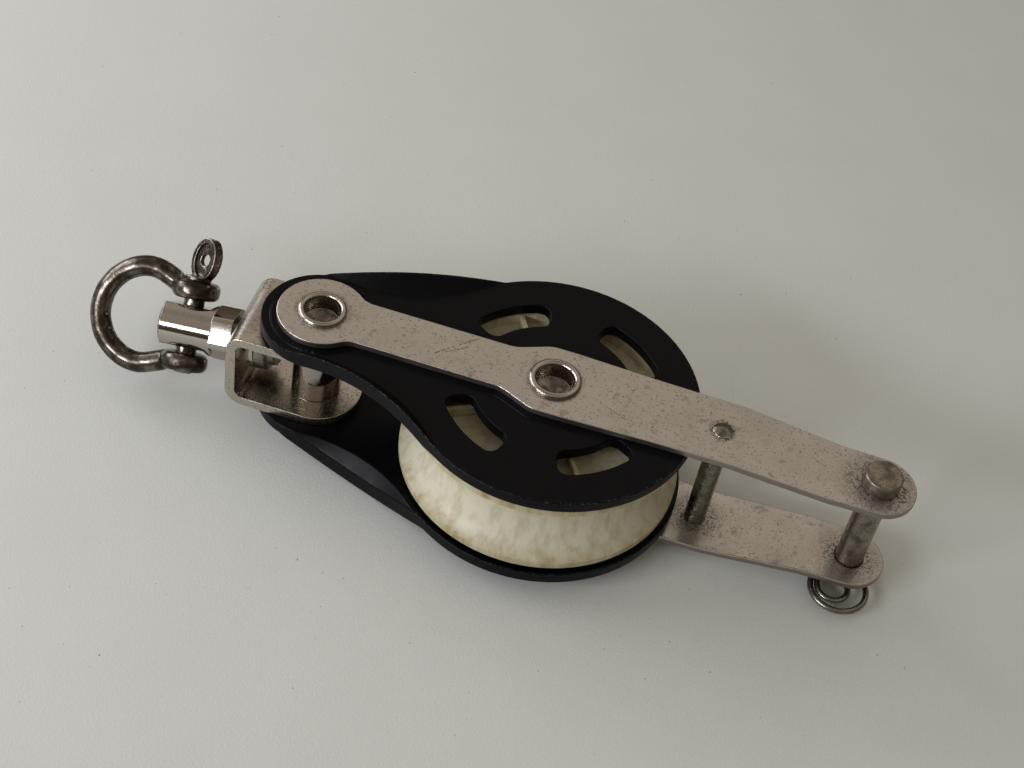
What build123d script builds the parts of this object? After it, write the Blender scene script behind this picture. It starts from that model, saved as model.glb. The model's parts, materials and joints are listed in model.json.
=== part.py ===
"""Swivel-headed rope block with one sheave, two strapped cheeks and a clevis-pin becket.

Frame: millimetres. The origin is on the sheave axle, midway between the cheeks.
+Z runs along the sheave axle, -X points to the shackle, +X to the becket.
Most of the block is the same above and below the mid-plane, so one half is drawn and mirrored.
"""
import math
import os

from build123d import *

os.makedirs("parts", exist_ok=True)

# ---------------------------------------------------------------- driving dimensions
HEAD_X = -53.3            # head axle, where the shackle bracket pivots
RIVET_X = 37.8            # spacer rivet behind the sheave
CLEVIS_X = 73.2           # becket clevis pin

SHEAVE_R = 31.75          # 2 1/2 inch sheave
SHEAVE_W = 19.4
GROOVE_R = 9.6            # radius of the rope groove's section
GROOVE_DEPTH = 4.3
HUB_R = 11.0
RIM_INNER_R = 25.6
WEB_RECESS = 2.6          # how far the web lies under the sheave's side faces
RIB_W = 0.9
RIB_COUNT = 4
RIB_PHASE = 29.75

AXLE_R = 4.7625           # 3/8 inch hollow-ended axles
BUSH_R = 6.6
RUN_GAP = 0.06            # radial gap of a running fit
FIXED_GAP = 0.02          # radial gap where nothing turns

CHEEK_IN = 10.8           # inner face of a cheek, above the mid-plane
CHEEK_T = 2.8
CHEEK_R = 32.8            # round part, about the sheave axle
CHEEK_HEAD_R = 13.4       # round part, about the head axle
NECK_R = 100.0            # hollow sides that join the two rounds
FLARE_C = (-49.2, 50.5)   # centre of the arc along which a side starts to flare
FLARE_R = 38.6
SLOT_IN, SLOT_OUT = 18.2, 24.8
SLOT_MID_ANGLES = (51.5, 128.5, 231.5, 308.5)
SLOT_HALF_SPAN = 22.0

LAND_H = 0.3              # raised land on the cheek, under the strap
LAND_EDGE = 1.3
STRAP_T = 1.6             # 1/16 inch strap
STRAP_IN = CHEEK_IN + CHEEK_T + LAND_H
STRAP_OUT = STRAP_IN + STRAP_T
STRAP_HEAD_R = 10.06
ARM_HALF = 6.36
STRAP_DROP = 2.2          # how far each strap bends in towards the clevis pin

WASHER_R = 8.6
WASHER_T = 0.9

BRACKET_BASE_X = -71.6
BRACKET_W = 21.2
BRACKET_T = 2.4
BRACKET_Z = (-10.74, 10.16)   # the bracket rests low between the cheeks
BRACKET_BEND_R = 4.2
SPACER_R = 5.66

LEAN = 7.0                # the swivel hangs slightly off the bracket's axis
SWIVEL_START = (-71.6, 0.0, -0.3)
SWIVEL_TURN = 48.9        # how far the swivel is turned at rest
SHANK_R = 3.175
SHANK_GAP = 0.05
NUT_R = 6.2
COLLAR_R = 4.8
HEX_AF = 11.3
HEX_START = 0.85
HEX_END = 5.8
BARREL_R = 6.0
BARREL_END = 18.3
EYE_AT = 12.65            # shackle pin, measured along the swivel from the bracket
SPOT_FLAT = 4.75
SPOT_R = 6.5

PIN_R = 2.38              # 3/16 inch shackle pin
EYE_IN, EYE_OUT = 6.2, 10.3
EYE_R = 5.4
BOW_WIRE_R = 2.4
BOW_R = 11.1
BOW_CENTRE = 10.9
BOW_SKEW = 0.45           # the bow is pulled a little towards the key side
KEY_AT = 15.4
KEY_TALL, KEY_WIDE, KEY_T = 10.0, 7.2, 2.6
KEY_HOLE_R = 1.35
KEY_WEB = 1.2             # thinner middle of the key, inside its raised edge
KEY_EDGE = 1.1
KEY_OFFSET = -0.8
KEY_TWIST = -25.0
KEY_LEAN = 6.0            # the key stands a little bent, towards the block

CLEVIS_R = 3.175          # 1/4 inch clevis pin
CLEVIS_HEAD_R = 4.2
CLEVIS_TOP = 16.9
CLEVIS_END = -18.5
RING_Z = -16.2
RING_HOLE_R = 1.65
RING_WIRE_R = 0.7
RING_R = 6.35
RING_C = (-0.35, -6.15)   # centre of the outer turn, from the pin's axis
RING_INNER_R = 3.45
RING_INNER_C = (-1.6, -6.55)


# ---------------------------------------------------------------- small helpers
def tube(outer, inner, z0, z1):
    """Round tube about Z between two heights."""
    body = Pos(0, 0, (z0 + z1) / 2) * Cylinder(outer, z1 - z0)
    return body - Pos(0, 0, (z0 + z1) / 2) * Cylinder(inner, z1 - z0 + 2)


def rod(radius, z0, z1):
    """Round bar about Z between two heights."""
    return Pos(0, 0, (z0 + z1) / 2) * Cylinder(radius, z1 - z0)


def below(shape):
    """The same piece on the other side of the mid-plane."""
    return mirror(shape, about=Plane.XY)


# ---------------------------------------------------------------- cheeks and straps
def cheek_outline():
    """Pear shape: two rounds joined by sides hollowed to a large radius."""
    d1 = CHEEK_HEAD_R + NECK_R
    d2 = CHEEK_R + NECK_R
    cx = (d1 ** 2 - d2 ** 2 - HEAD_X ** 2) / (-2 * HEAD_X)
    cy = math.sqrt(d2 ** 2 - cx ** 2)
    t1 = (HEAD_X + (cx - HEAD_X) * CHEEK_HEAD_R / d1, cy * CHEEK_HEAD_R / d1)
    t2 = (cx * CHEEK_R / d2, cy * CHEEK_R / d2)
    quad = make_face(Polyline(t1, t2, (t2[0], -t2[1]), (t1[0], -t1[1]), close=True))
    for side in (1, -1):
        quad -= Pos(cx, side * cy) * Circle(NECK_R)
    return quad + Circle(CHEEK_R) + Pos(HEAD_X, 0) * Circle(CHEEK_HEAD_R)


def strap_outline():
    """Round head, narrow arm, then a wider tail from the sheave axle to the clevis pin."""
    half = [(-46.0, ARM_HALF), (-10.6, ARM_HALF), (-3.0, 9.85), (3.0, 9.85), (22.0, 9.2),
            (46.0, 8.8), (66.0, 8.15), (CLEVIS_X + 0.5, 8.02)]
    other = [(x, -y) for x, y in reversed(half)]
    blade = make_face(Polyline(*half, *other, close=True))
    blade += Pos(HEAD_X, 0) * Circle(STRAP_HEAD_R)
    blade += Pos(CLEVIS_X, 0) * Circle(8.05)
    neck = [v for v in blade.vertices() if -48 < v.X < -44]
    blade = fillet(neck, 5.0)
    swell = [v for v in blade.vertices() if -11 < v.X < -10]
    blade = fillet(swell, 7.0)
    shoulder = [v for v in blade.vertices() if -3.5 < v.X < -2.5]
    return fillet(shoulder, 6.0)


def slot_outline(mid_angle):
    """One arched opening, an arc of constant width with rounded corners."""
    reach = 40.0
    a = math.radians(SLOT_HALF_SPAN)
    wedge = make_face(Polyline((0, 0), (reach * math.cos(a), reach * math.sin(a)),
                               (reach * math.cos(a), -reach * math.sin(a)), close=True))
    sector = (Circle(SLOT_OUT) - Circle(SLOT_IN)) & wedge
    sector = fillet(sector.vertices(), 2.4)
    return Rot(0, 0, mid_angle) * sector


def cheek():
    """Upper cheek: a flat plate whose neck sides flare outward at 45 degrees."""
    top = CHEEK_IN + CHEEK_T
    inner_r = FLARE_R - CHEEK_T * math.tan(math.radians(22.5))
    rise = 9.0
    plate = Pos(0, 0, CHEEK_IN) * extrude(cheek_outline(), CHEEK_T)
    tall = Pos(0, 0, CHEEK_IN - 1) * extrude(cheek_outline(), rise + CHEEK_T + 1)
    body = plate
    for side in (1, -1):
        axis = Axis((FLARE_C[0], side * FLARE_C[1], 0), (0, 0, 1))
        plane = Plane(origin=(FLARE_C[0], side * FLARE_C[1], 0), x_dir=(1, 0, 0), z_dir=(0, -1, 0))
        inside = plane * make_face(Polyline((0, CHEEK_IN - 1), (inner_r, CHEEK_IN - 1),
                                            (inner_r, CHEEK_IN), (FLARE_R, top),
                                            (FLARE_R, top + 1), (0, top + 1), close=True))
        shell = plane * make_face(Polyline((inner_r, CHEEK_IN), (FLARE_R, top),
                                           (FLARE_R - rise, top + rise),
                                           (inner_r - rise, CHEEK_IN + rise), close=True))
        body -= revolve(inside, axis, 360)
        body += revolve(shell, axis, 360) & tall
    land = offset(strap_outline(), LAND_EDGE) & cheek_outline()
    body += Pos(0, 0, top) * extrude(land, LAND_H)
    for angle in SLOT_MID_ANGLES:
        body -= Pos(0, 0, CHEEK_IN - 1) * extrude(slot_outline(angle), CHEEK_T + 3)
    hole = CHEEK_IN + CHEEK_T / 2
    body -= Pos(0, 0, hole) * Cylinder(AXLE_R + FIXED_GAP, 8)
    body -= Pos(HEAD_X, 0, hole) * Cylinder(AXLE_R + FIXED_GAP, 8)
    return body


def strap():
    """Upper strap: flat over the cheek, bent slightly inward from the rivet to the clevis pin."""
    t0, t1 = STRAP_IN, STRAP_OUT
    side = Plane.XZ * make_face(Polyline((-70, t0), (41, t0), (63, t0 - STRAP_DROP),
                                         (90, t0 - STRAP_DROP), (90, t1 - STRAP_DROP),
                                         (63, t1 - STRAP_DROP), (41, t1), (-70, t1), close=True))
    sheet = extrude(side, 20, both=True)
    body = sheet & (Pos(0, 0, 8) * extrude(strap_outline(), 12))
    body -= Pos(0, 0, t0) * Cylinder(AXLE_R + FIXED_GAP, 12)
    body -= Pos(HEAD_X, 0, t0) * Cylinder(AXLE_R + FIXED_GAP, 12)
    body -= Pos(RIVET_X, 0, t0) * Cylinder(1.6 + FIXED_GAP, 12)
    body -= Pos(CLEVIS_X, 0, t0) * Cylinder(CLEVIS_R + 0.07, 12)
    return body


# ---------------------------------------------------------------- sheave and axles
def sheave():
    """Acetal sheave: rope groove, recessed ribbed web on both sides, plain hub."""
    half = SHEAVE_W / 2
    body = tube(SHEAVE_R, BUSH_R + FIXED_GAP, -half, half)
    groove_c = SHEAVE_R - GROOVE_DEPTH + GROOVE_R
    body -= Torus(groove_c, GROOVE_R)
    recess = tube(RIM_INNER_R, HUB_R, half - WEB_RECESS, half + 1)
    for i in range(RIB_COUNT):
        rib = Pos(18, 0, half) * Box(20, RIB_W, 2 * WEB_RECESS - 0.6)
        recess -= Rot(0, 0, RIB_PHASE + i * 360 / RIB_COUNT) * rib
    body -= recess
    body -= below(recess)
    return body


def sheave_bush():
    """Sleeve pressed into the sheave's hub, turning on the axle."""
    half = SHEAVE_W / 2 - 0.1
    return tube(BUSH_R, AXLE_R + RUN_GAP, -half, half)


def hollow_axle(rim_r, recess_r):
    """Axle with both ends drilled out and rolled over the straps."""
    roll = (rim_r - recess_r) / 2
    seat = STRAP_OUT + FIXED_GAP
    centre = seat + 0.25
    ring = Pos(0, 0, centre) * Torus(recess_r + roll, roll)
    ring &= Pos(0, 0, seat + 2) * Cylinder(rim_r + 1, 4)
    body = rod(AXLE_R, -centre, centre) + ring + below(ring)
    drill = Pos(0, 0, centre - 1.0) * Cylinder(recess_r, 5.0)
    drill += Pos(0, 0, centre - 3.5 - 0.75) * Cone(0.05, recess_r, 1.5)
    return body - drill - below(drill)


def thrust_washer():
    """Plain washer between the sheave's hub and the cheek."""
    low = CHEEK_IN - 0.1 - WASHER_T
    return tube(WASHER_R, AXLE_R + RUN_GAP, low, low + WASHER_T)


def tail_spacer():
    """Spacer rod behind the sheave, its reduced ends riveted over the straps."""
    body = rod(2.38, -STRAP_IN + 0.02, STRAP_IN - 0.02) + rod(1.6, -STRAP_OUT - 0.2, STRAP_OUT + 0.2)
    dome = Pos(0, 0, STRAP_OUT + 0.02 - 3.4) * Sphere(4.16)
    dome &= Pos(0, 0, STRAP_OUT + 0.02 + 1) * Cylinder(2.35, 2)
    return Pos(RIVET_X, 0, 0) * (body + dome + below(dome))


# ---------------------------------------------------------------- head bracket
def head_spacer():
    """Tube that keeps the bracket's two legs apart on the head axle."""
    z0 = BRACKET_Z[0] + BRACKET_T + 0.04
    z1 = BRACKET_Z[1] - BRACKET_T - 0.04
    return Pos(HEAD_X, 0, 0) * tube(SPACER_R, AXLE_R + 0.04, z0, z1)


def swivel_plane(turn=0.0):
    """Frame whose Z runs out along the swivel and whose X follows the shackle pin."""
    lean = math.radians(LEAN)
    w = math.radians(SWIVEL_TURN + turn)
    out = Vector(-math.cos(lean), 0, -math.sin(lean))
    up = Vector(-math.sin(lean), 0, math.cos(lean))
    pin = Vector(0, 1, 0) * math.cos(w) + up * math.sin(w)
    return Plane(origin=SWIVEL_START, x_dir=pin, z_dir=out)


def head_bracket():
    """Strip bent to a U: its legs turn on the head axle, its base carries the swivel."""
    z0, z1 = BRACKET_Z
    mid, tall = (z0 + z1) / 2, z1 - z0
    r_in = BRACKET_BEND_R - BRACKET_T
    outer = Plane.XZ * (Pos(BRACKET_BASE_X + 20, mid) * RectangleRounded(40, tall, BRACKET_BEND_R))
    inner = Plane.XZ * (Pos(BRACKET_BASE_X + BRACKET_T + 20, mid)
                        * RectangleRounded(40, tall - 2 * BRACKET_T, r_in))
    channel = extrude(outer, BRACKET_W / 2, both=True) - extrude(inner, BRACKET_W, both=True)
    plan = Pos((HEAD_X + BRACKET_BASE_X - 5) / 2, 0) * Rectangle(HEAD_X - BRACKET_BASE_X + 5, BRACKET_W)
    plan += Pos(HEAD_X, 0) * Circle(BRACKET_W / 2)
    body = channel & (Pos(0, 0, -20) * extrude(plan, 40))
    body -= Pos(HEAD_X, 0, 0) * Cylinder(AXLE_R + RUN_GAP, 40)
    body -= swivel_plane() * Cylinder(SHANK_R + SHANK_GAP, 14)
    return body


def swivel_post():
    """Turned from hex bar: barrel with the shackle-pin hole, hex, and a shank through the base."""
    hexagon = extrude(RegularPolygon(HEX_AF / 2, 6, major_radius=False), HEX_END - HEX_START)
    body = Pos(0, 0, HEX_START) * hexagon
    body &= rod(BARREL_R + 0.12, HEX_START, HEX_END)
    barrel = chamfer(rod(BARREL_R, HEX_END, BARREL_END).edges().group_by(Axis.Z)[-1], 0.5)
    body += barrel
    body += rod(SHANK_R, -9.6, 1.0)
    body -= Pos(0, 0, EYE_AT) * (Rot(0, 90, 0) * Cylinder(PIN_R + 0.08, 20))
    for side in (1, -1):
        spot = Pos(side * (SPOT_FLAT + 3), 0, EYE_AT) * (Rot(0, 90, 0) * Cylinder(SPOT_R, 6))
        body -= spot
    return swivel_plane() * body


def swivel_washer():
    """Washer under the nut, inside the bracket."""
    return swivel_plane() * tube(NUT_R, SHANK_R + FIXED_GAP, -4.85, -3.25)


def swivel_nut():
    """Round lock nut with a smaller collar; the shank's end shows beyond it."""
    body = rod(NUT_R, -7.7, -4.87)
    body = fillet(body.edges().group_by(Axis.Z)[0], 0.9)
    body += rod(COLLAR_R, -9.2, -7.0)
    body -= rod(SHANK_R + FIXED_GAP, -12, 0)
    return swivel_plane() * body


# ---------------------------------------------------------------- shackle
def pin_plane():
    """Frame at the shackle pin: Z along the pin towards its key, X out along the bow."""
    base = swivel_plane()
    centre = base.origin + base.z_dir * EYE_AT
    return Plane(origin=centre, x_dir=base.z_dir, z_dir=base.x_dir)


def shackle_bow():
    """Round bar bent to a bow, its ends forged into two eyes."""
    right = [(8.25, 0), (8.8, 3.8), (10.3, 7.6), (BOW_R, BOW_CENTRE)]
    for angle in (30, 60):
        a = math.radians(angle)
        right.append((BOW_R * math.cos(a), BOW_CENTRE + BOW_R * math.sin(a)))
    tip = [(0, BOW_CENTRE + BOW_R)]
    left = [(-u, w) for u, w in reversed(right)]
    skew = [(u + BOW_SKEW * min(w / 7.6, 1), w) for u, w in right + tip + left]
    path = Spline(*[(w, 0, u) for u, w in skew])
    start = Plane(origin=path @ 0, z_dir=path % 0)
    body = sweep(start * Circle(BOW_WIRE_R), path=path)
    for side in (1, -1):
        mid = side * (EYE_IN + EYE_OUT) / 2
        eye = Pos(0, 0, mid) * Cylinder(EYE_R, EYE_OUT - EYE_IN)
        body += fillet(eye.edges(), 1.5)
        body -= Pos(0, 0, side * (EYE_OUT + 3)) * Cylinder(4.0, 6)
    body -= Pos(0, 0, 8) * Cylinder(PIN_R + 0.07, 8)
    body -= Pos(0, 0, -8) * Cylinder(PIN_R + 0.05, 8)
    gap = Pos(0, 0, 0) * Cylinder(EYE_R + 1.5, 2 * EYE_IN)
    return pin_plane() * (body - gap)


def shackle_pin():
    """Screw pin with a flat oval key, drilled for a lanyard."""
    shaft = chamfer(rod(PIN_R, -EYE_OUT - 0.5, EYE_OUT + 0.6).edges().group_by(Axis.Z)[0], 0.4)
    shaft += rod(3.0, EYE_OUT + 0.1, EYE_OUT + 1.1)
    key = Rot(90, 0, 0) * extrude(Ellipse(KEY_WIDE / 2, KEY_TALL / 2), KEY_T / 2, both=True)
    key -= Rot(90, 0, 0) * Cylinder(KEY_HOLE_R, 10)
    dish = extrude(Ellipse(KEY_WIDE / 2 - KEY_EDGE, KEY_TALL / 2 - KEY_EDGE), KEY_T)
    dish = Rot(90, 0, 0) * (Pos(0, 0, KEY_WEB / 2) * dish)
    key -= dish + mirror(dish, about=Plane.XZ)
    key = Pos(0, 0, KEY_AT - EYE_OUT - 0.6) * (Rot(0, 0, KEY_TWIST) * key)
    key = Pos(KEY_OFFSET, 0, EYE_OUT + 0.6) * (Rot(0, -KEY_LEAN, 0) * key)
    return pin_plane() * (shaft + key)


# ---------------------------------------------------------------- becket pin and ring
def clevis_pin():
    """Headed pin through both straps, cross-drilled below for the ring."""
    head_z = STRAP_OUT - STRAP_DROP + 0.05
    shaft = rod(CLEVIS_R, CLEVIS_END, head_z + 1)
    shaft = chamfer(shaft.edges().group_by(Axis.Z)[0], 0.6)
    head = rod(CLEVIS_HEAD_R, head_z, CLEVIS_TOP)
    head = fillet(head.edges().group_by(Axis.Z)[-1], 0.5)
    body = shaft + head
    body -= Pos(0, 0, RING_Z) * (Rot(0, 90, 0) * Cylinder(RING_HOLE_R, 20))
    return Pos(CLEVIS_X, 0, 0) * body


def split_ring():
    """Spring-wire ring: a small inner turn that widens into a full turn through the pin."""
    points = []
    for deg in range(30, -166, -15):
        a = math.radians(deg)
        points.append((RING_INNER_C[0] + RING_INNER_R * math.cos(a),
                       RING_INNER_C[1] + RING_INNER_R * math.sin(a)))
    for deg in range(120, -196, -15):
        a = math.radians(deg)
        points.append((RING_C[0] + RING_R * math.cos(a), RING_C[1] + RING_R * math.sin(a)))
    path = Spline(*[(x, y, 0) for x, y in points])
    start = Plane(origin=path @ 0, z_dir=path % 0)
    wire = sweep(start * Circle(RING_WIRE_R), path=path)
    return Pos(CLEVIS_X, 0, RING_Z) * wire


# ---------------------------------------------------------------- write the pieces
PIECES = {
    "cheek_upper": cheek(),
    "cheek_lower": below(cheek()),
    "strap_upper": strap(),
    "strap_lower": below(strap()),
    "sheave": sheave(),
    "sheave_bush": sheave_bush(),
    "sheave_axle": hollow_axle(5.87, 4.15),
    "washer_upper": thrust_washer(),
    "washer_lower": below(thrust_washer()),
    "head_axle": Pos(HEAD_X, 0, 0) * hollow_axle(5.42, 3.9),
    "head_spacer": head_spacer(),
    "tail_spacer": tail_spacer(),
    "head_bracket": head_bracket(),
    "swivel_post": swivel_post(),
    "swivel_washer": swivel_washer(),
    "swivel_nut": swivel_nut(),
    "shackle_bow": shackle_bow(),
    "shackle_pin": shackle_pin(),
    "clevis_pin": clevis_pin(),
    "split_ring": split_ring(),
}

for name, shape in PIECES.items():
    export_step(shape, "parts/" + name + ".step")
    print(name, "solids", len(shape.solids()), "volume", round(shape.volume, 1))
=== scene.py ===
# %% [markdown]
# # A rope block, finished for the bench
#
# This is a sailing block lying on a pale table: one ivory sheave between two black plastic
# cheeks, two stainless straps that carry the load, a swivelling bow shackle at the head and a
# clevis pin with a split ring at the tail. The CAD model already holds every size, fit and
# joint. What is left is what the eye reads: the rolled and polished edges, the tarnish, the
# stains round the pins and the light. So each piece is either the CAD shape under a better
# finish, or a finer mesh that stands in for it.

# %% Load the CAD model as a fixed frame
import json
import math

import bpy
from mathutils import Matrix, Vector


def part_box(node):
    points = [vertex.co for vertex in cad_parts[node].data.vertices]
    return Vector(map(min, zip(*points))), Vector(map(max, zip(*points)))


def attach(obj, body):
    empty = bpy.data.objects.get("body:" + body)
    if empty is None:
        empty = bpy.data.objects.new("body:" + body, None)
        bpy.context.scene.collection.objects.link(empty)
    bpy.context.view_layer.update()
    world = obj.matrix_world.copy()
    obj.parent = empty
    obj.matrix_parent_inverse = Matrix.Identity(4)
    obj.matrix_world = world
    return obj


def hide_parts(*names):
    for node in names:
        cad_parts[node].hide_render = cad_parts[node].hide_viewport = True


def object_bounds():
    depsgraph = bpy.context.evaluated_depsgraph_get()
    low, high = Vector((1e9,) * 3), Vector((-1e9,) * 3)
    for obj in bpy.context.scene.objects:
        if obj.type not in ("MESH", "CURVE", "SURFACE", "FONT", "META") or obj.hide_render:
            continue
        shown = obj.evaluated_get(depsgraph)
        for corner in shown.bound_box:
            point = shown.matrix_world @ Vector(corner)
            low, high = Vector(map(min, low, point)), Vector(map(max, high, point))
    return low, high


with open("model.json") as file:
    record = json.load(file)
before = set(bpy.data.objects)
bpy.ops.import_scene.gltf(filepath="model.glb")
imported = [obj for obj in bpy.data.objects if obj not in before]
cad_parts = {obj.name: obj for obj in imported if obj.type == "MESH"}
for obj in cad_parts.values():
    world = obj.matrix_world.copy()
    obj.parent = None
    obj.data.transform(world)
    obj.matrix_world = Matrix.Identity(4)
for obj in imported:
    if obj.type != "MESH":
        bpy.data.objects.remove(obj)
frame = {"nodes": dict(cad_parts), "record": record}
nodes = frame["nodes"]
cad_low, cad_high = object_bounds()
MM = 0.001
print("CAD box, mm:", [round(side / MM, 1) for side in cad_high - cad_low])

# %% [markdown]
# ## Camera
#
# The view is a hand-held one: from above and in front, with the camera tipped a little to one
# side. A camera can be aimed with a constraint, but then the tip has to be added by hand. It
# is clearer to build the camera's own three axes from azimuth, elevation and roll, and to
# write them as the columns of its matrix.

# %% Place the camera
AZIMUTH = math.radians(7.33)
ELEVATION = math.radians(46.63)
ROLL = math.radians(11.41)
CAMERA_PLACE = Vector((25.37, -267.62, 296.08)) * MM
SENSOR_WIDTH_MM = 36
FOCAL_LENGTH_MM = 63.04
NEAREST_SEEN = 0.01

back = Vector((
    math.sin(AZIMUTH) * math.cos(ELEVATION),
    -math.cos(AZIMUTH) * math.cos(ELEVATION),
    math.sin(ELEVATION),
))
level_right = (-back).cross(Vector((0, 0, 1))).normalized()
level_up = level_right.cross(-back)
right = math.cos(ROLL) * level_right + math.sin(ROLL) * level_up
up = math.cos(ROLL) * level_up - math.sin(ROLL) * level_right
camera_data = bpy.data.cameras.new("bench_camera")
camera_data.sensor_width = SENSOR_WIDTH_MM
camera_data.lens = FOCAL_LENGTH_MM
camera_data.clip_start = NEAREST_SEEN
camera = bpy.data.objects.new("bench_camera", camera_data)
camera.matrix_world = Matrix((right, up, back)).transposed().to_4x4()
camera.location = CAMERA_PLACE
bpy.context.scene.collection.objects.link(camera)
bpy.context.scene.camera = camera
print("camera is", round(CAMERA_PLACE.length / MM), "mm from the sheave's centre")

# %% [markdown]
# ## A way to write node materials
#
# Every finish below is a small web of shader nodes. One helper adds a node, sets its
# properties, and for each input either links a socket or sets a value. Colours are written as
# the hex codes a painter would pick on screen. Blender works in linear light, so one function
# turns them over.

# %% Colours and nodes
def colour(code):
    """A hex colour as linear red, green, blue and alpha, by the sRGB curve."""
    shares = [int(code[start:start + 2], 16) / 255 for start in (1, 3, 5)]
    return [s / 12.92 if s <= 0.04045 else ((s + 0.055) / 1.055) ** 2.4 for s in shares] + [1]


def add(tree, kind, inputs=None, **settings):
    """Adds a shader node with its settings; an input is a value or another node's socket."""
    node = tree.nodes.new("ShaderNode" + kind)
    for name, value in settings.items():
        setattr(node, name, value)
    for key, value in (inputs or {}).items():
        if isinstance(value, bpy.types.NodeSocket):
            tree.links.new(value, node.inputs[key])
        else:
            node.inputs[key].default_value = value
    return node


def new_finish(name):
    """An empty node material, and the socket that gives each point's place on the block."""
    material = bpy.data.materials.new(name)
    material.use_nodes = True
    material.node_tree.nodes.clear()
    return material, material.node_tree, add(material.node_tree, "TexCoord").outputs["Object"]


def finish_with(tree, shader):
    """Sends a shader to the material's output."""
    add(tree, "OutputMaterial", {"Surface": shader.outputs[0]})


print("mid grey #808080 in linear light is", round(colour("#808080")[0], 3))

# %% [markdown]
# ## Patterns that several finishes share
#
# Real surfaces are uneven at several scales at once. Four patterns are enough here: clouds
# (noise of a stated size), specks (the peaks of a fine noise), a stain round a point (the
# bracket's second one is painted shade), and a mask along the edges, for a painted highlight
# on the steels and for wear on the nylon. The last one asks the Bevel node for a rounded
# normal and compares it with the true one: they differ only near an edge.

# %% Clouds, specks and stains
RAGGED_MM = 1.5


def clouds(tree, place, size_mm, detail=3.0, stretch=(1, 1, 1), turn=0.0, shift=0.0):
    """Cloudy values about 0.5, with blobs of about size_mm."""
    moved = add(tree, "Mapping", {"Vector": place, "Scale": stretch, "Rotation": (0, 0, turn),
                                  "Location": (shift, shift, shift)})
    noise = add(tree, "TexNoise", {"Vector": moved.outputs[0], "Scale": 1 / (size_mm * MM),
                                   "Detail": detail, "Roughness": 0.6})
    return noise.outputs["Fac"]


def specks(tree, place, size_mm, low, high, stretch=(1, 1, 1), turn=0.0, shift=0.0):
    """A mask that is 1 on the peaks of a noise; low and high say how rare the peaks are."""
    peaks = clouds(tree, place, size_mm, 2.0, stretch, turn, shift)
    return add(tree, "MapRange", {"Value": peaks, "From Min": low, "From Max": high},
               interpolation_type="SMOOTHSTEP").outputs["Result"]


def stain_and_shade_round(tree, place, centre, inner_mm, outer_mm):
    """A mask that is 1 close to a point and fades out to a ragged edge."""
    away = add(tree, "VectorMath", {0: place, 1: centre}, operation="DISTANCE").outputs["Value"]
    uneven = add(tree, "Math", {0: clouds(tree, place, 2.2), 1: RAGGED_MM * 2 * MM,
                                2: away}, operation="MULTIPLY_ADD").outputs[0]
    return add(tree, "MapRange", {
        "Value": uneven, "From Min": (inner_mm + RAGGED_MM) * MM,
        "From Max": (outer_mm + RAGGED_MM) * MM, "To Min": 1.0, "To Max": 0.0,
    }, interpolation_type="SMOOTHSTEP").outputs["Result"]


print("a stain's edge wanders by up to", RAGGED_MM, "mm")

# %% Edges: wear and painted highlight
BEVEL_SAMPLES = 6
BREAK_RANGE = 0.2


# On the steels this mask lightens the colour as a painted highlight along the edges; on the nylon it
# places real wear.
def edge_wear_and_highlight(tree, place, width_mm, least):
    """A mask that is 1 along the edges; a higher least breaks it up more."""
    rounded = add(tree, "Bevel", {"Radius": width_mm * MM}, samples=BEVEL_SAMPLES).outputs["Normal"]
    true = add(tree, "NewGeometry").outputs["True Normal"]
    same = add(tree, "VectorMath", {0: rounded, 1: true},
               operation="DOT_PRODUCT").outputs["Value"]
    edge = add(tree, "MapRange", {"Value": same, "From Min": 0.995,
                                  "From Max": 0.9}).outputs["Result"]
    broken = add(tree, "MapRange", {"Value": clouds(tree, place, 0.7), "From Min": least,
                                    "From Max": least + BREAK_RANGE}).outputs["Result"]
    return add(tree, "Math", {0: edge, 1: broken}, operation="MULTIPLY").outputs[0]


print("each edge is looked for with", BEVEL_SAMPLES, "samples")

# %% [markdown]
# ## A finer copy of a CAD shape
#
# CAD edges are perfectly sharp, and a sharp edge catches no light. On the real block every
# edge was tumbled, rolled or moulded with a small radius, and that radius is the bright line
# the eye follows. A rounded edge could be faked in the shading, but then the outline stays
# sharp. Here each shape is copied, its loose triangles are merged and its flat faces joined
# into single ones, and a Bevel modifier rounds every edge sharper than 30 degrees.

# %% Copy and merge
SAME_POINT_MM = 0.001
body_of = {node: body for body, members in frame["record"]["behaviour"]["bodies"].items()
           for node in members}


def only(piece):
    """Deselects everything, then selects this piece and makes it active."""
    bpy.ops.object.select_all(action="DESELECT")
    piece.select_set(True)
    bpy.context.view_layer.objects.active = piece


def merged_copy(node, flat_deg=0.3):
    """A copy of a CAD node as one closed mesh with joined flat faces, riding on its body."""
    piece = bpy.data.objects.new(node + "_finished", nodes[node].data.copy())
    bpy.context.scene.collection.objects.link(piece)
    only(piece)
    bpy.ops.mesh.customdata_custom_splitnormals_clear()
    bpy.ops.object.mode_set(mode="EDIT")
    bpy.ops.mesh.select_all(action="SELECT")
    bpy.ops.mesh.remove_doubles(threshold=SAME_POINT_MM * MM)
    if flat_deg:
        bpy.ops.mesh.dissolve_limited(angle_limit=math.radians(flat_deg))
    bpy.ops.object.mode_set(mode="OBJECT")
    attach(piece, body_of[node])
    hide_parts(node)
    return piece


# %% Round and shade
SHARP_DEG = 30
SMOOTH_DEG = 40


def apply_modifier(piece, kind, **settings):
    """Adds one modifier with its settings and applies it."""
    only(piece)
    modifier = piece.modifiers.new(kind.lower(), kind)
    for name, value in settings.items():
        setattr(modifier, name, value)
    bpy.ops.object.modifier_apply(modifier=modifier.name)


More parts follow.
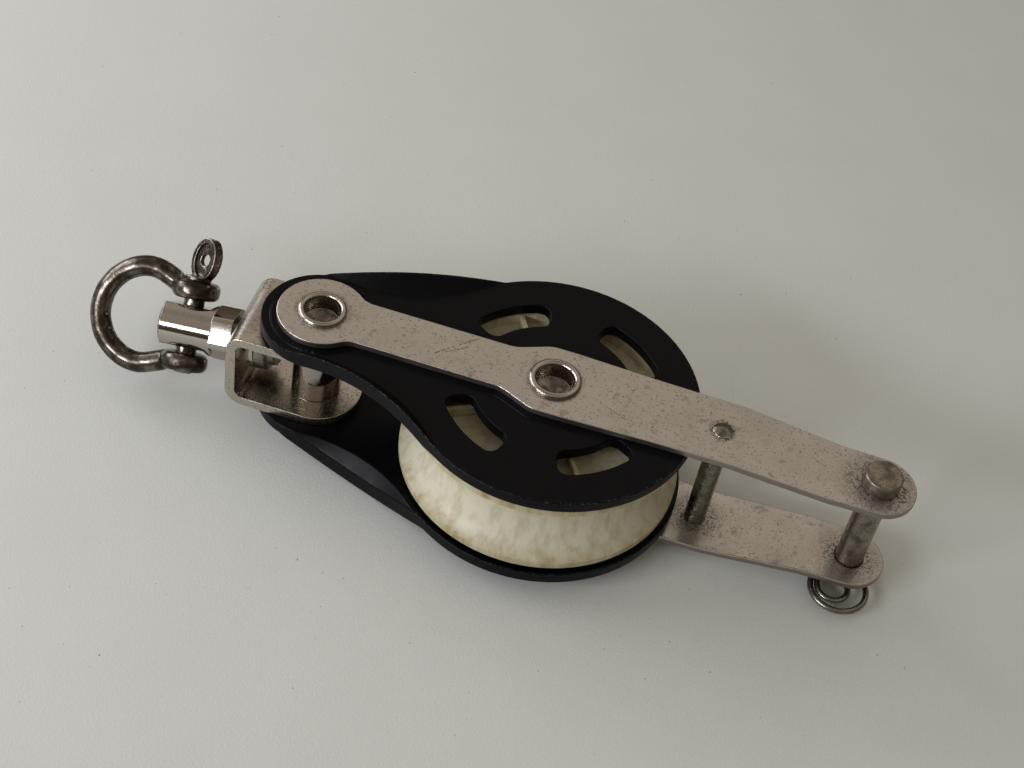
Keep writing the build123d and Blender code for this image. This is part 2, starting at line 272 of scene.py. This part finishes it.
def round_edges(piece, radius_mm, steps=3, clamp=True):
    """Rounds every edge sharper than SHARP_DEG and shades the rest smooth."""
    apply_modifier(piece, "BEVEL", width=radius_mm * MM, segments=steps, limit_method="ANGLE",
                   angle_limit=math.radians(SHARP_DEG), use_clamp_overlap=clamp)
    bpy.ops.object.shade_smooth_by_angle(angle=math.radians(SMOOTH_DEG))
    apply_modifier(piece, "WEIGHTED_NORMAL", keep_sharp=True)
    print(piece.name, "has", len(piece.data.polygons), "faces")


print("edges sharper than", SHARP_DEG, "degrees will be rounded")


# %% Put a finish on a piece
def give(piece, material):
    """Puts one material on a piece."""
    piece.data.materials.clear()
    piece.data.materials.append(material)
    print(piece.name, "wears", material.name)


def keep_shape(node, material):
    """Leaves a CAD node as it is and only changes its material."""
    nodes[node].material_slots[0].material = material
    print(node, "keeps its CAD shape and wears", material.name)


# %% [markdown]
# ## Finish: tumbled stainless sheet
#
# The straps are blanked from 1.6 mm stainless sheet and tumbled, so the faces are satin and
# slightly warm, and the edges are polished. Salt and rope dust leave fine dark pits, and a
# brown stain grows round each pin where water sits. A metal takes its colour from what it
# reflects, so most of the detail goes into roughness. The dirt changes the colour, and so
# does a painted highlight that lightens the edges.

# %% Where the pins cross the straps
def middle_x(node):
    """How far along the block the middle of a CAD node lies."""
    node_low, node_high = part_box(node)
    return (node_low.x + node_high.x) / 2


SHEAVE_AXLE_X = 0.0
HEAD_AXLE_X = middle_x("head_axle")
SPACER_X = middle_x("tail_spacer")
CLEVIS_X = middle_x("clevis_pin")
STRAP_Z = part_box("strap_upper")[1].z
pin_places = (HEAD_AXLE_X, SHEAVE_AXLE_X, SPACER_X, CLEVIS_X)
print("pins along the strap, mm:", [round(x / MM, 1) for x in pin_places])

# %% A hair scratch
SCRATCH_HALF_MM = 0.16
SCRATCH_CORE = 0.4


def hair_scratch(tree, place, start, end):
    """A thin broken line between two points: how far a point lies from the nearest part of it."""
    start, end = Vector(start), Vector(end)
    from_start = add(tree, "VectorMath", {0: place, 1: start}, operation="SUBTRACT").outputs[0]
    along = (end - start) / (end - start).length_squared
    share = add(tree, "VectorMath", {0: from_start, 1: along},
                operation="DOT_PRODUCT").outputs["Value"]
    held = add(tree, "Clamp", {"Value": share}).outputs[0]
    nearest = add(tree, "VectorMath", {0: end - start, "Scale": held},
                  operation="SCALE").outputs[0]
    away = add(tree, "VectorMath", {0: from_start, 1: nearest},
               operation="DISTANCE").outputs["Value"]
    line = add(tree, "MapRange", {
        "Value": away, "From Min": SCRATCH_HALF_MM * MM,
        "From Max": SCRATCH_HALF_MM * SCRATCH_CORE * MM}).outputs["Result"]
    broken = specks(tree, place, 0.8, 0.40, 0.50, shift=0.08)
    return add(tree, "Math", {0: line, 1: broken}, operation="MULTIPLY").outputs[0]


print("a hair scratch is", 2 * SCRATCH_HALF_MM, "mm wide")


# %% Sheet steel
def sheet_steel(name, clean, dirt, stains, rough=0.3, pits=(0.60, 0.68), scratches=(), cut=0.5):
    """Satin sheet: pits, scratches, stains, a painted highlight along the edges; cut darkens its
    sheared sides.
    """
    material, tree, place = new_finish(name)
    haze = clouds(tree, place, 9.0, 4.0)
    scratch = specks(tree, place, 0.5, 0.56, 0.66, stretch=(0.05, 1, 1), turn=0.5)
    scratch_across = specks(tree, place, 0.6, 0.60, 0.68, stretch=(1, 0.06, 1), turn=0.9,
                            shift=0.03)
    pit = specks(tree, place, 0.45, *pits)
    soot = specks(tree, place, 2.4, 0.58, 0.74, shift=0.05)
    grime = add(tree, "Math", {0: pit, 1: 0.55}, operation="MULTIPLY").outputs[0]
    freckles = specks(tree, place, 0.55, 0.47, 0.60, shift=0.06)
    freckled = add(tree, "Math", {0: freckles, 1: 0.7, 2: 0.25},
                   operation="MULTIPLY_ADD").outputs[0]
    # A stain entry can also be painted shade: the bracket's patch under the head axle is one.
    for centre, inner, outer, strength in stains:
        stain = stain_and_shade_round(tree, place, centre, inner, outer)
        patch = add(tree, "Math", {0: stain, 1: freckled}, operation="MULTIPLY").outputs[0]
        weak = add(tree, "Math", {0: patch, 1: strength}, operation="MULTIPLY").outputs[0]
        grime = add(tree, "Math", {0: grime, 1: weak}, operation="MAXIMUM").outputs[0]
    soot_mark = add(tree, "Math", {0: soot, 1: 0.25}, operation="MULTIPLY").outputs[0]
    grime = add(tree, "Math", {0: grime, 1: soot_mark}, operation="MAXIMUM",
                use_clamp=True).outputs[0]
    for start, end, strength in scratches:
        mark = hair_scratch(tree, place, start, end)
        weak = add(tree, "Math", {0: mark, 1: strength}, operation="MULTIPLY").outputs[0]
        grime = add(tree, "Math", {0: grime, 1: weak}, operation="MAXIMUM").outputs[0]
    edge = edge_wear_and_highlight(tree, place, 0.3, 0.2)
    facing = add(tree, "NewGeometry").outputs["True Normal"]
    upward = add(tree, "SeparateXYZ", {0: facing}).outputs[2]
    flatness = add(tree, "Math", {0: upward}, operation="ABSOLUTE").outputs[0]
    sheared = add(tree, "MapRange", {"Value": flatness, "From Min": 0.5, "From Max": 0.2,
                                     "To Max": cut}).outputs["Result"]
    grime = add(tree, "Math", {0: grime, 1: sheared}, operation="MAXIMUM").outputs[0]
    base = add(tree, "Mix", {0: grime, 6: colour(clean), 7: colour(dirt)},
               data_type="RGBA").outputs[2]
    # The edges are mixed towards the pale #DED8CE: a painted highlight along them.
    painted_edge_highlight = add(tree, "Math", {0: edge, 1: 0.3}, operation="MULTIPLY").outputs[0]
    bright = add(tree, "Mix", {0: painted_edge_highlight, 6: base, 7: colour("#DED8CE")},
                 data_type="RGBA").outputs[2]
    satin = add(tree, "MapRange", {"Value": haze, "From Min": 0.3, "From Max": 0.7,
                                   "To Min": rough - 0.07, "To Max": rough + 0.1}).outputs["Result"]
    dulled = add(tree, "Math", {0: grime, 1: 0.35, 2: satin}, operation="MULTIPLY_ADD").outputs[0]
    both = add(tree, "Math", {0: scratch, 1: scratch_across}, operation="ADD").outputs[0]
    relief = add(tree, "Math", {0: both, 1: pit}, operation="ADD").outputs[0]
    bump = add(tree, "Bump", {"Height": relief, "Strength": 0.25, "Distance": -0.03 * MM})
    steel = add(tree, "BsdfPrincipled", {"Base Color": bright, "Metallic": 1.0, "Roughness": dulled,
                                         "Normal": bump.outputs[0]})
    finish_with(tree, steel)
    return material


# each stain: its centre, its inner and outer radius in mm, and its strength
strap_stains = [
    ((CLEVIS_X, 0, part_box("clevis_pin")[1].z), 4.5, 12.0, 0.9),
    ((CLEVIS_X, 0, -STRAP_Z), 4.0, 11.0, 0.8),
    ((SPACER_X, 0, -STRAP_Z), 3.0, 9.0, 0.8),
    ((SPACER_X, 0, STRAP_Z), 2.5, 3.4, 0.9),
    ((HEAD_AXLE_X, 0, STRAP_Z), 5.0, 7.0, 0.7),
    ((SHEAVE_AXLE_X, 0, STRAP_Z), 5.0, 7.0, 0.7),
]
# each scratch: its two ends and its strength
strap_scratches = [
    ((-26.6 * MM, -2.4 * MM, STRAP_Z), (-19.0 * MM, 5.4 * MM, STRAP_Z), 0.8),
    ((-24.6 * MM, -1.2 * MM, STRAP_Z), (-20.4 * MM, 1.9 * MM, STRAP_Z), 0.6),
    ((12.0 * MM, -3.0 * MM, STRAP_Z), (17.5 * MM, -5.2 * MM, STRAP_Z), 0.5),
    ((46.0 * MM, 4.0 * MM, STRAP_Z), (51.5 * MM, 1.5 * MM, STRAP_Z), 0.5),
]
strap_steel = sheet_steel("tumbled_stainless_sheet", "#C7C1B8", "#3A3028", strap_stains,
                          scratches=strap_scratches)
for node in ("strap_upper", "strap_lower"):
    strap = merged_copy(node)
    round_edges(strap, radius_mm=0.35)
    give(strap, strap_steel)

# %% [markdown]
# ## The bracket
#
# The bracket is a thicker strip of the same steel, bent into a U. Its sides were dressed after
# bending, so they are nearly as clean as its faces. It hangs inside the block, away from hands
# and rope, so it keeps fewer stains: one at the upper bend, above the swivel. The faint dark
# patch under the head axle is painted shade of the swivel nut.

# %% Bracket
bracket_low, bracket_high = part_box("head_bracket")
bracket_stain_and_shade = [
    ((bracket_low.x + 3 * MM, 0, bracket_high.z), 4.0, 9.0, 0.45),
    # a faint dark patch under the head axle: painted shade of the swivel nut
    ((HEAD_AXLE_X, 0, bracket_low.z), 6.0, 9.0, 0.2),
]
bracket_steel = sheet_steel("bent_stainless_strip", "#BEB6AA", "#3B3129", bracket_stain_and_shade,
                            rough=0.2, pits=(0.58, 0.67), cut=0.05)
bracket = merged_copy("head_bracket")
round_edges(bracket, radius_mm=0.4)
give(bracket, bracket_steel)

# %% [markdown]
# ## Finish: turned and polished stainless
#
# The head spacer, the swivel barrel and its washer are turned on a lathe and polished. They
# mirror the room, so they need low roughness, and only faint turning lines, a thin dirt film
# and a painted highlight along the edges. The nut, the tail spacer and the split ring are the
# same steel gone dull, and the clevis pin is pitted as well. Lathe lines are too fine to
# show, so they are drawn 0.4 mm apart, and level, as they are on the upright pieces.

# %% Turned steel
def turned_steel(name, clean, dirt, rough, dirt_share, edge_highlight=0.5):
    """Turned bar: faint rings, a dirt film in patches that dirt_share widens, and a painted highlight
    along the edges.
    """
    material, tree, place = new_finish(name)
    film = clouds(tree, place, 3.0, 5.0)
    patches = add(tree, "MapRange", {"Value": film, "From Min": 0.62 - dirt_share * 0.3,
                                     "From Max": 0.78 - dirt_share * 0.2}).outputs["Result"]
    dust = specks(tree, place, 0.4, 0.62 - dirt_share * 0.15, 0.72 - dirt_share * 0.1, shift=0.02)
    grime = add(tree, "Math", {0: patches, 1: dust}, operation="MAXIMUM").outputs[0]
    weak = add(tree, "Math", {0: grime, 1: 0.35 + dirt_share * 0.5},
               operation="MULTIPLY").outputs[0]
    edge = edge_wear_and_highlight(tree, place, 0.3, 0.25)
    base = add(tree, "Mix", {0: weak, 6: colour(clean), 7: colour(dirt)},
               data_type="RGBA").outputs[2]
    # The edges are mixed towards the pale #EDE9E2: a painted highlight; edge_highlight sets its
    # strength.
    worn_and_highlit = add(tree, "Math", {0: edge, 1: edge_highlight}, operation="MULTIPLY").outputs[0]
    bright = add(tree, "Mix", {0: worn_and_highlit, 6: base, 7: colour("#EDE9E2")},
                 data_type="RGBA").outputs[2]
    dulled = add(tree, "MapRange", {"Value": weak, "To Min": rough,
                                    "To Max": rough + 0.35}).outputs["Result"]
    rings = clouds(tree, place, 0.4, 2.0, stretch=(0.15, 0.15, 1))
    bump = add(tree, "Bump", {"Height": rings, "Strength": rough / 2, "Distance": 0.02 * MM})
    steel = add(tree, "BsdfPrincipled", {"Base Color": bright, "Metallic": 1.0, "Roughness": dulled,
                                         "Normal": bump.outputs[0]})
    finish_with(tree, steel)
    return material


polished_steel = turned_steel("polished_stainless_bar", "#AEA79E", "#5E5348",
                              rough=0.08, dirt_share=0.12)
dull_steel = turned_steel("worn_stainless_bar", "#8C887C", "#332B22", rough=0.25, dirt_share=0.45)
pitted_steel = turned_steel("pitted_stainless_pin", "#9A9286", "#2B251F",
                            rough=0.26, dirt_share=0.6, edge_highlight=0.3)
turned_pieces = (
    ("head_spacer", 0.2, polished_steel),
    ("swivel_post", 0.2, polished_steel),
    ("swivel_washer", 0.15, polished_steel),
    ("swivel_nut", 0.3, dull_steel),
    ("clevis_pin", 0.25, pitted_steel),
)
for node, radius_mm, steel in turned_pieces:
    turned = merged_copy(node)
    round_edges(turned, radius_mm, steps=2)
    give(turned, steel)
keep_shape("split_ring", dull_steel)

# %% [markdown]
# ## The rolled axle ends
#
# Each axle is bored at both ends and its rim is rolled outwards over the strap, so the rim is
# a smooth bright roll. Dirt collects in the bore, where no rag reaches, and the bore's colour
# is darkened further as painted shade of the recess. The bore is found from its distance to
# the axle's own line, so each axle has its own material. A second dark ring, painted shade of
# the crease, lies beyond the roll, where it meets the strap.

# %% Axle finish
def rolled_axle_steel_with_painted_shade(name, axle_x, bore_mm):
    """Polished steel with a bright rolled rim, darker in the bore from a dirt film and painted shade,
    and a painted shade ring at the strap.
    """
    material, tree, place = new_finish(name)
    parts = add(tree, "SeparateXYZ", {0: place})
    flat = add(tree, "CombineXYZ", {0: parts.outputs[0], 1: parts.outputs[1]})
    radius = add(tree, "VectorMath", {0: flat.outputs[0], 1: (axle_x, 0, 0)},
                 operation="DISTANCE").outputs["Value"]
    # The bore turns brown-dark: a dirt film together with painted shade of the recess.
    inside = add(tree, "MapRange", {"Value": radius, "From Min": (bore_mm + 0.15) * MM,
                                    "From Max": (bore_mm - 0.25) * MM}).outputs["Result"]
    film = add(tree, "MapRange", {"Value": clouds(tree, place, 1.6, 5.0), "From Min": 0.36,
                                  "From Max": 0.62, "To Min": 0.35, "To Max": 1.0}).outputs["Result"]
    # A dark ring where the roll meets the strap: painted shade of the crease.
    outer = add(tree, "MapRange", {"Value": radius, "From Min": (bore_mm + 1.35) * MM,
                                   "From Max": (bore_mm + 1.75) * MM, "To Max": 0.8}).outputs["Result"]
    held = add(tree, "Math", {0: inside, 1: film}, operation="MULTIPLY").outputs[0]
    dirt = add(tree, "Math", {0: held, 1: outer}, operation="MAXIMUM").outputs[0]
    base = add(tree, "Mix", {0: dirt, 6: colour("#B7B1A8"), 7: colour("#5F5244")},
               data_type="RGBA").outputs[2]
    dulled = add(tree, "MapRange", {"Value": dirt, "To Min": 0.17, "To Max": 0.34}).outputs["Result"]
    nicks = specks(tree, place, 0.4, 0.58, 0.7, shift=0.02)
    bump = add(tree, "Bump", {"Height": nicks, "Strength": 0.3, "Distance": -0.04 * MM})
    finish_with(tree, add(tree, "BsdfPrincipled", {
        "Base Color": base, "Metallic": 1.0, "Roughness": dulled, "Normal": bump.outputs[0]}))
    return material


# each axle: its node, its place along the block, and the radius in mm where its painted shade and dirt
# begin
axles = (
    ("sheave_axle", SHEAVE_AXLE_X, 4.15),
    ("head_axle", HEAD_AXLE_X, 3.9),
)
for node, axle_x, bore_mm in axles:
    keep_shape(node, rolled_axle_steel_with_painted_shade(node + "_rolled_stainless", axle_x, bore_mm))

# %% [markdown]
# ## Finish: tarnished forged stainless
#
# The shackle was forged, tumbled and then left in salt air. A brown-black tarnish lies in
# patches over bright metal, and it is rubbed off along the ridges. The ridges are painted
# paler than the clean metal, so they carry a painted highlight on top of that wear.
# Pointiness tells a ridge from a hollow, but it needs many small faces. So each forged piece
# is remeshed into even quads first, which also lets a gentle displacement show the hammer.
# The rivet heads on the tail spacer are hammered too, so it is made the same way with a
# shorter wave.

# %% Shackle steel
def tarnished_steel(name):
    """Forged stainless under a mottled brown tarnish, its ridges rubbed bright and given a painted
    highlight.
    """
    material, tree, place = new_finish(name)
    mottle = clouds(tree, place, 4.5, 5.0)
    tarnish = add(tree, "MapRange", {"Value": mottle, "From Min": 0.36, "From Max": 0.58},
                  interpolation_type="SMOOTHSTEP").outputs["Result"]
    black = specks(tree, place, 0.6, 0.60, 0.74, shift=0.04)
    base = add(tree, "Mix", {0: tarnish, 6: colour("#7C766D"), 7: colour("#3D352D")},
               data_type="RGBA").outputs[2]
    pitted = add(tree, "Mix", {0: black, 6: base, 7: colour("#2A221B")},
                 data_type="RGBA").outputs[2]
    ridge = add(tree, "NewGeometry").outputs["Pointiness"]
    # Ridges are mixed towards the pale #C9C3B9: rubbed-off tarnish with a painted highlight on top.
    worn_and_highlit = add(tree, "MapRange", {"Value": ridge, "From Min": 0.515, "From Max": 0.545,
                                  "To Max": 0.8}).outputs["Result"]
    dished = add(tree, "MapRange", {"Value": ridge, "From Min": 0.495, "From Max": 0.475,
                                    "To Max": 0.7}).outputs["Result"]
    sooty = add(tree, "Mix", {0: dished, 6: pitted, 7: colour("#2E2319")},
                data_type="RGBA").outputs[2]
    bright = add(tree, "Mix", {0: worn_and_highlit, 6: sooty, 7: colour("#C9C3B9")},
                 data_type="RGBA").outputs[2]
    dulled = add(tree, "MapRange", {"Value": tarnish, "To Min": 0.2,
                                    "To Max": 0.34}).outputs["Result"]
    dull_pits = add(tree, "Math", {0: black, 1: 0.25, 2: dulled},
                    operation="MULTIPLY_ADD").outputs[0]
    relief = add(tree, "Math", {0: black, 1: mottle}, operation="ADD").outputs[0]
    bump = add(tree, "Bump", {"Height": relief, "Strength": 0.25, "Distance": -0.03 * MM})
    steel = add(tree, "BsdfPrincipled", {"Base Color": bright, "Metallic": 1.0, "Roughness": dull_pits,
                                         "Normal": bump.outputs[0]})
    finish_with(tree, steel)
    return material


shackle_steel = tarnished_steel("tarnished_forged_stainless")
print(shackle_steel.name, "has", len(shackle_steel.node_tree.nodes), "nodes")


# %% Hammered pieces
def hammered_copy(node, voxel_mm, smoothings, wave_mm, depth_mm):
    """A copy remeshed into small even faces, softened, then pushed in and out by a noise."""
    piece = merged_copy(node, 0)
    apply_modifier(piece, "REMESH", mode="VOXEL", voxel_size=voxel_mm * MM)
    apply_modifier(piece, "SMOOTH", factor=0.5, iterations=smoothings)
    waves = bpy.data.textures.new(node + "_waves", "CLOUDS")
    waves.noise_scale = wave_mm * MM
    apply_modifier(piece, "DISPLACE", texture=waves, texture_coords="LOCAL", strength=depth_mm * MM)
    bpy.ops.object.shade_smooth()
    print(piece.name, "has", len(piece.data.polygons), "faces")
    return piece


bow = hammered_copy("shackle_bow", voxel_mm=0.2, smoothings=10, wave_mm=3.0, depth_mm=0.12)
give(bow, shackle_steel)
screw_pin = hammered_copy("shackle_pin", voxel_mm=0.16, smoothings=8, wave_mm=2.0, depth_mm=0.16)
give(screw_pin, shackle_steel)
riveted_bar = hammered_copy("tail_spacer", voxel_mm=0.13, smoothings=4, wave_mm=1.1, depth_mm=0.22)
give(riveted_bar, dull_steel)

# %% [markdown]
# ## Finish: moulded black nylon
#
# The cheeks are glass-filled nylon, moulded black and faintly blue in the light. The faces are
# satin with fine scuffs, and the wing edges have taken years of knocks: pale specks and thin
# scratches along them. Plastic is a dielectric, so its gloss is white and its colour is its
# own. The knocks are kept off the flat middle, where the strap lies. The edges are rounded by
# only 0.3 mm, because 0.5 mm threw a stray face across the head axle's bore.

# %% Cheek plastic
KNOCKS_BEYOND_MM = 27.0
CLEAR_OF_STRAP_MM = 11.0
CHEEK_ROUNDING_MM = 0.3


def moulded_nylon(name):
    """Black nylon with a satin skin, scuffs and pale knocks along the edges."""
    material, tree, place = new_finish(name)
    haze = clouds(tree, place, 7.0, 4.0)
    scuff = specks(tree, place, 0.5, 0.60, 0.70, stretch=(0.08, 1, 1), turn=0.4)
    dust = specks(tree, place, 0.3, 0.66, 0.74, shift=0.02)
    edge = edge_wear_and_highlight(tree, place, 0.6, 0.40)
    fine = specks(tree, place, 0.35, 0.50, 0.60, shift=0.07)
    parts = add(tree, "SeparateXYZ", {0: place})
    flat = add(tree, "CombineXYZ", {0: parts.outputs[0], 1: parts.outputs[1]})
    radius = add(tree, "VectorMath", {0: flat.outputs[0]}, operation="LENGTH").outputs["Value"]
    outside = add(tree, "Math", {0: radius, 1: KNOCKS_BEYOND_MM * MM},
                  operation="GREATER_THAN").outputs[0]
    aside = add(tree, "Math", {0: parts.outputs[1]}, operation="ABSOLUTE").outputs[0]
    beside_strap = add(tree, "Math", {0: aside, 1: CLEAR_OF_STRAP_MM * MM},
                       operation="GREATER_THAN").outputs[0]
    exposed = add(tree, "Math", {0: outside, 1: beside_strap}, operation="MULTIPLY").outputs[0]
    hit = add(tree, "Math", {0: edge, 1: fine}, operation="MULTIPLY").outputs[0]
    knocks = add(tree, "Math", {0: hit, 1: exposed}, operation="MULTIPLY").outputs[0]
    base = add(tree, "Mix", {0: haze, 6: colour("#020204"), 7: colour("#06070A")},
               data_type="RGBA").outputs[2]
    dusty = add(tree, "Mix", {0: dust, 6: base, 7: colour("#2A2A2E")},
                data_type="RGBA").outputs[2]
    knocked = add(tree, "Mix", {0: knocks, 6: dusty, 7: colour("#6F757F")},
                  data_type="RGBA").outputs[2]
    satin = add(tree, "MapRange", {"Value": haze, "From Min": 0.3, "From Max": 0.7,
                                   "To Min": 0.26, "To Max": 0.40}).outputs["Result"]
    rubbed = add(tree, "Math", {0: scuff, 1: 0.12, 2: satin}, operation="MULTIPLY_ADD").outputs[0]
    grain = clouds(tree, place, 0.5, 3.0)
    relief = add(tree, "Math", {0: scuff, 1: grain}, operation="ADD").outputs[0]
    bump = add(tree, "Bump", {"Height": relief, "Strength": 0.2, "Distance": 0.03 * MM})
    nylon = add(tree, "BsdfPrincipled", {"Base Color": knocked, "Roughness": rubbed, "IOR": 1.53,
                                         "Specular IOR Level": 0.11, "Normal": bump.outputs[0]})
    finish_with(tree, nylon)
    return material


black_nylon = moulded_nylon("moulded_black_nylon")
for node in ("cheek_upper", "cheek_lower"):
    cheek = merged_copy(node)
    round_edges(cheek, CHEEK_ROUNDING_MM, clamp=False)
    give(cheek, black_nylon)

# %% [markdown]
# ## Finish: turned acetal
#
# The sheave is turned from acetal, an ivory plastic that lets a little light in. Rope and tar
# have stained it yellow-brown: most of all along its two rims, and in short strokes that run
# across the groove. Inside the web, under the cheeks, it is tinted a little towards the same
# yellow-brown: stain together with painted shade. The thrust washers are a nylon that looks
# much the same, so they share the recipe in greyer colours, and the bush is bronze.

# %% Sheave plastic
RIM_STAIN_FROM_MM = 5.5
RIM_STAIN_FULL_MM = 8.6
WEB_STAIN_AND_SHADE_FROM_MM = 27.0
WEB_STAIN_AND_SHADE_FULL_MM = 18.0


def turned_acetal(name, ivory, stain_colour):
    """Ivory acetal, stained along its rims and in strokes, and a little darker inside the web from
    stain and painted shade.
    """
    material, tree, place = new_finish(name)
    parts = add(tree, "SeparateXYZ", {0: place})
    flat = add(tree, "CombineXYZ", {0: parts.outputs[0], 1: parts.outputs[1]})
    radius = add(tree, "VectorMath", {0: flat.outputs[0]}, operation="LENGTH").outputs["Value"]
    # Inside the web, under the cheeks: stain together with painted shade.
    web_stain_and_shade = add(tree, "MapRange", {
        "Value": radius, "From Min": WEB_STAIN_AND_SHADE_FROM_MM * MM, "From Max": WEB_STAIN_AND_SHADE_FULL_MM * MM,
        "To Min": 0.0, "To Max": 0.38}).outputs["Result"]
    strokes = clouds(tree, place, 2.6, 6.0, (1, 1, 0.3), 0.7)
    blots = add(tree, "MapRange", {"Value": strokes, "From Min": 0.47,
                                   "From Max": 0.96}).outputs["Result"]
    height = add(tree, "Math", {0: parts.outputs[2]}, operation="ABSOLUTE").outputs[0]
    rim = add(tree, "MapRange", {
        "Value": height, "From Min": RIM_STAIN_FROM_MM * MM, "From Max": RIM_STAIN_FULL_MM * MM,
        "To Min": 0.0, "To Max": 0.95}).outputs["Result"]
    streaks = clouds(tree, place, 2.5, 4.0, (1, 1, 0.35), 0.6, 0.01)
    rim_stain = add(tree, "Math", {0: rim, 1: streaks}, operation="MULTIPLY").outputs[0]
    stains_and_web_shade = add(tree, "Math", {0: web_stain_and_shade, 1: rim_stain}, operation="MAXIMUM").outputs[0]
    dirt = add(tree, "Math", {0: stains_and_web_shade, 1: blots}, operation="ADD", use_clamp=True).outputs[0]
    specked = specks(tree, place, 0.6, 0.68, 0.80, shift=0.03)
    base = add(tree, "Mix", {0: dirt, 6: colour(ivory), 7: colour(stain_colour)},
               data_type="RGBA").outputs[2]
    marked = add(tree, "Mix", {0: specked, 6: base, 7: colour("#7A6A48")},
                 data_type="RGBA").outputs[2]
    rings = clouds(tree, place, 0.5, 2.0, stretch=(0.1, 0.1, 1))
    bump = add(tree, "Bump", {"Height": rings, "Strength": 0.15, "Distance": 0.05 * MM})
    rough = add(tree, "MapRange", {"Value": dirt, "To Min": 0.38, "To Max": 0.6}).outputs["Result"]
    acetal = add(tree, "BsdfPrincipled", {"Base Color": marked, "Roughness": rough, "IOR": 1.48,
                                          "Subsurface Weight": 0.25, "Subsurface Scale": 1.5 * MM,
                                          "Subsurface Radius": (1.0, 0.8, 0.5),
                                          "Normal": bump.outputs[0]})
    finish_with(tree, acetal)
    return material


acetal = turned_acetal("turned_ivory_acetal", "#D6D2BB", "#9C8A56")
sheave = merged_copy("sheave")
round_edges(sheave, radius_mm=0.2, steps=2)
give(sheave, acetal)

# %% Washers and bush
washer_plastic = turned_acetal("natural_nylon_washer", "#D2CDBF", "#9A8A68")
for node in ("washer_upper", "washer_lower"):
    keep_shape(node, washer_plastic)
bush_bronze = turned_steel("turned_bronze", "#B98A52", "#5A3E22", rough=0.25, dirt_share=0.3)
keep_shape("sheave_bush", bush_bronze)

# %% [markdown]
# ## Table
#
# A painted table top, pale and close to neutral, with a fine grain and a few dark specks. It
# lies just under the lowest point of the block, so the block rests on it. It is only a
# stage, so it is kept out of the block's own size.

# %% The table
TABLE_SIZE = 10.0
TABLE_GAP = 0.02 * MM
bpy.ops.mesh.primitive_plane_add(size=TABLE_SIZE, location=(0, 0, cad_low.z - TABLE_GAP))
table = bpy.context.object
table.name = "table_top"
paint, tree, place = new_finish("painted_table_top")
fine = clouds(tree, place, 0.6, 4.0)
wide = clouds(tree, place, 30.0, 3.0)
tint = add(tree, "Mix", {0: wide, 6: colour("#D3D7D0"), 7: colour("#DBDFD8")},
           data_type="RGBA").outputs[2]
speck = specks(tree, place, 1.1, 0.745, 0.77, shift=0.011)
spotted = add(tree, "Mix", {0: speck, 6: tint, 7: colour("#5C5852")}, data_type="RGBA").outputs[2]
bump = add(tree, "Bump", {"Height": fine, "Strength": 0.5, "Distance": 0.15 * MM})
finish_with(tree, add(tree, "BsdfPrincipled", {
    "Base Color": spotted, "Roughness": 0.55, "Normal": bump.outputs[0]}))
table.data.materials.append(paint)
print("the table top lies at z", round(table.location.z / MM, 2), "mm")

# %% [markdown]
# ## Light
#
# The polished barrel tells where the light is: one thin bright band just below its middle
# means a long low window in front and to the left. A second, dimmer window at the side makes
# the table fade from left to right. The rest is the room itself, brown near the floor, paler
# higher up, dark again overhead and a little dimmer on the viewer's side, which is what the
# steel mirrors between its bright bands. A world shader with gradients is enough for that.

# %% The windows
def soft_light(name, place, aim, width, height, power, tint):
    """A rectangular area light at a place, turned towards a point."""
    data = bpy.data.lights.new(name, "AREA")
    data.shape = "RECTANGLE"
    data.size = width
    data.size_y = height
    data.energy = power
    data.color = colour(tint)[:3]
    lamp = bpy.data.objects.new(name, data)
    lamp.location = place
    lamp.rotation_euler = (Vector(aim) - Vector(place)).to_track_quat("-Z", "Y").to_euler()
    bpy.context.scene.collection.objects.link(lamp)
    print(name, "is", round(lamp.location.length / MM), "mm away")


soft_light("window", place=(-0.56, -0.68, 0.42), aim=(-0.04, 0, 0),
           width=0.55, height=0.16, power=4.6, tint="#F3F5FF")
soft_light("side_window", place=(-0.58, 0.10, 0.26), aim=(0, 0, 0),
           width=0.6, height=0.25, power=1.9, tint="#F6F6FF")

# %% The room
room = bpy.data.worlds.new("room")
room.use_nodes = True
tree = room.node_tree
tree.nodes.clear()
look = add(tree, "SeparateXYZ", {0: add(tree, "TexCoord").outputs["Generated"]})
height = add(tree, "MapRange", {"Value": look.outputs[2], "From Min": 0.25, "From Max": 0.75},
             interpolation_type="SMOOTHSTEP").outputs["Result"]
walls = add(tree, "Mix", {0: height, 6: colour("#5E5044"), 7: colour("#BDB3A8")},
            data_type="RGBA").outputs[2]
nearer = add(tree, "MapRange", {"Value": look.outputs[1], "From Min": 0.6, "From Max": -0.6,
                                "To Min": 1.05, "To Max": 0.86}).outputs["Result"]
overhead = add(tree, "MapRange", {"Value": look.outputs[2], "From Min": 0.84, "From Max": 0.97,
                                  "To Min": 1.0, "To Max": 0.45}).outputs["Result"]
strength = add(tree, "Math", {0: nearer, 1: overhead}, operation="MULTIPLY").outputs[0]
add(tree, "OutputWorld", {"Surface": add(tree, "Background", {
    "Color": walls, "Strength": strength}).outputs[0]})
bpy.context.scene.world = room
bpy.context.scene.view_settings.view_transform = "Standard"
print("the room's world has", len(tree.nodes), "nodes")
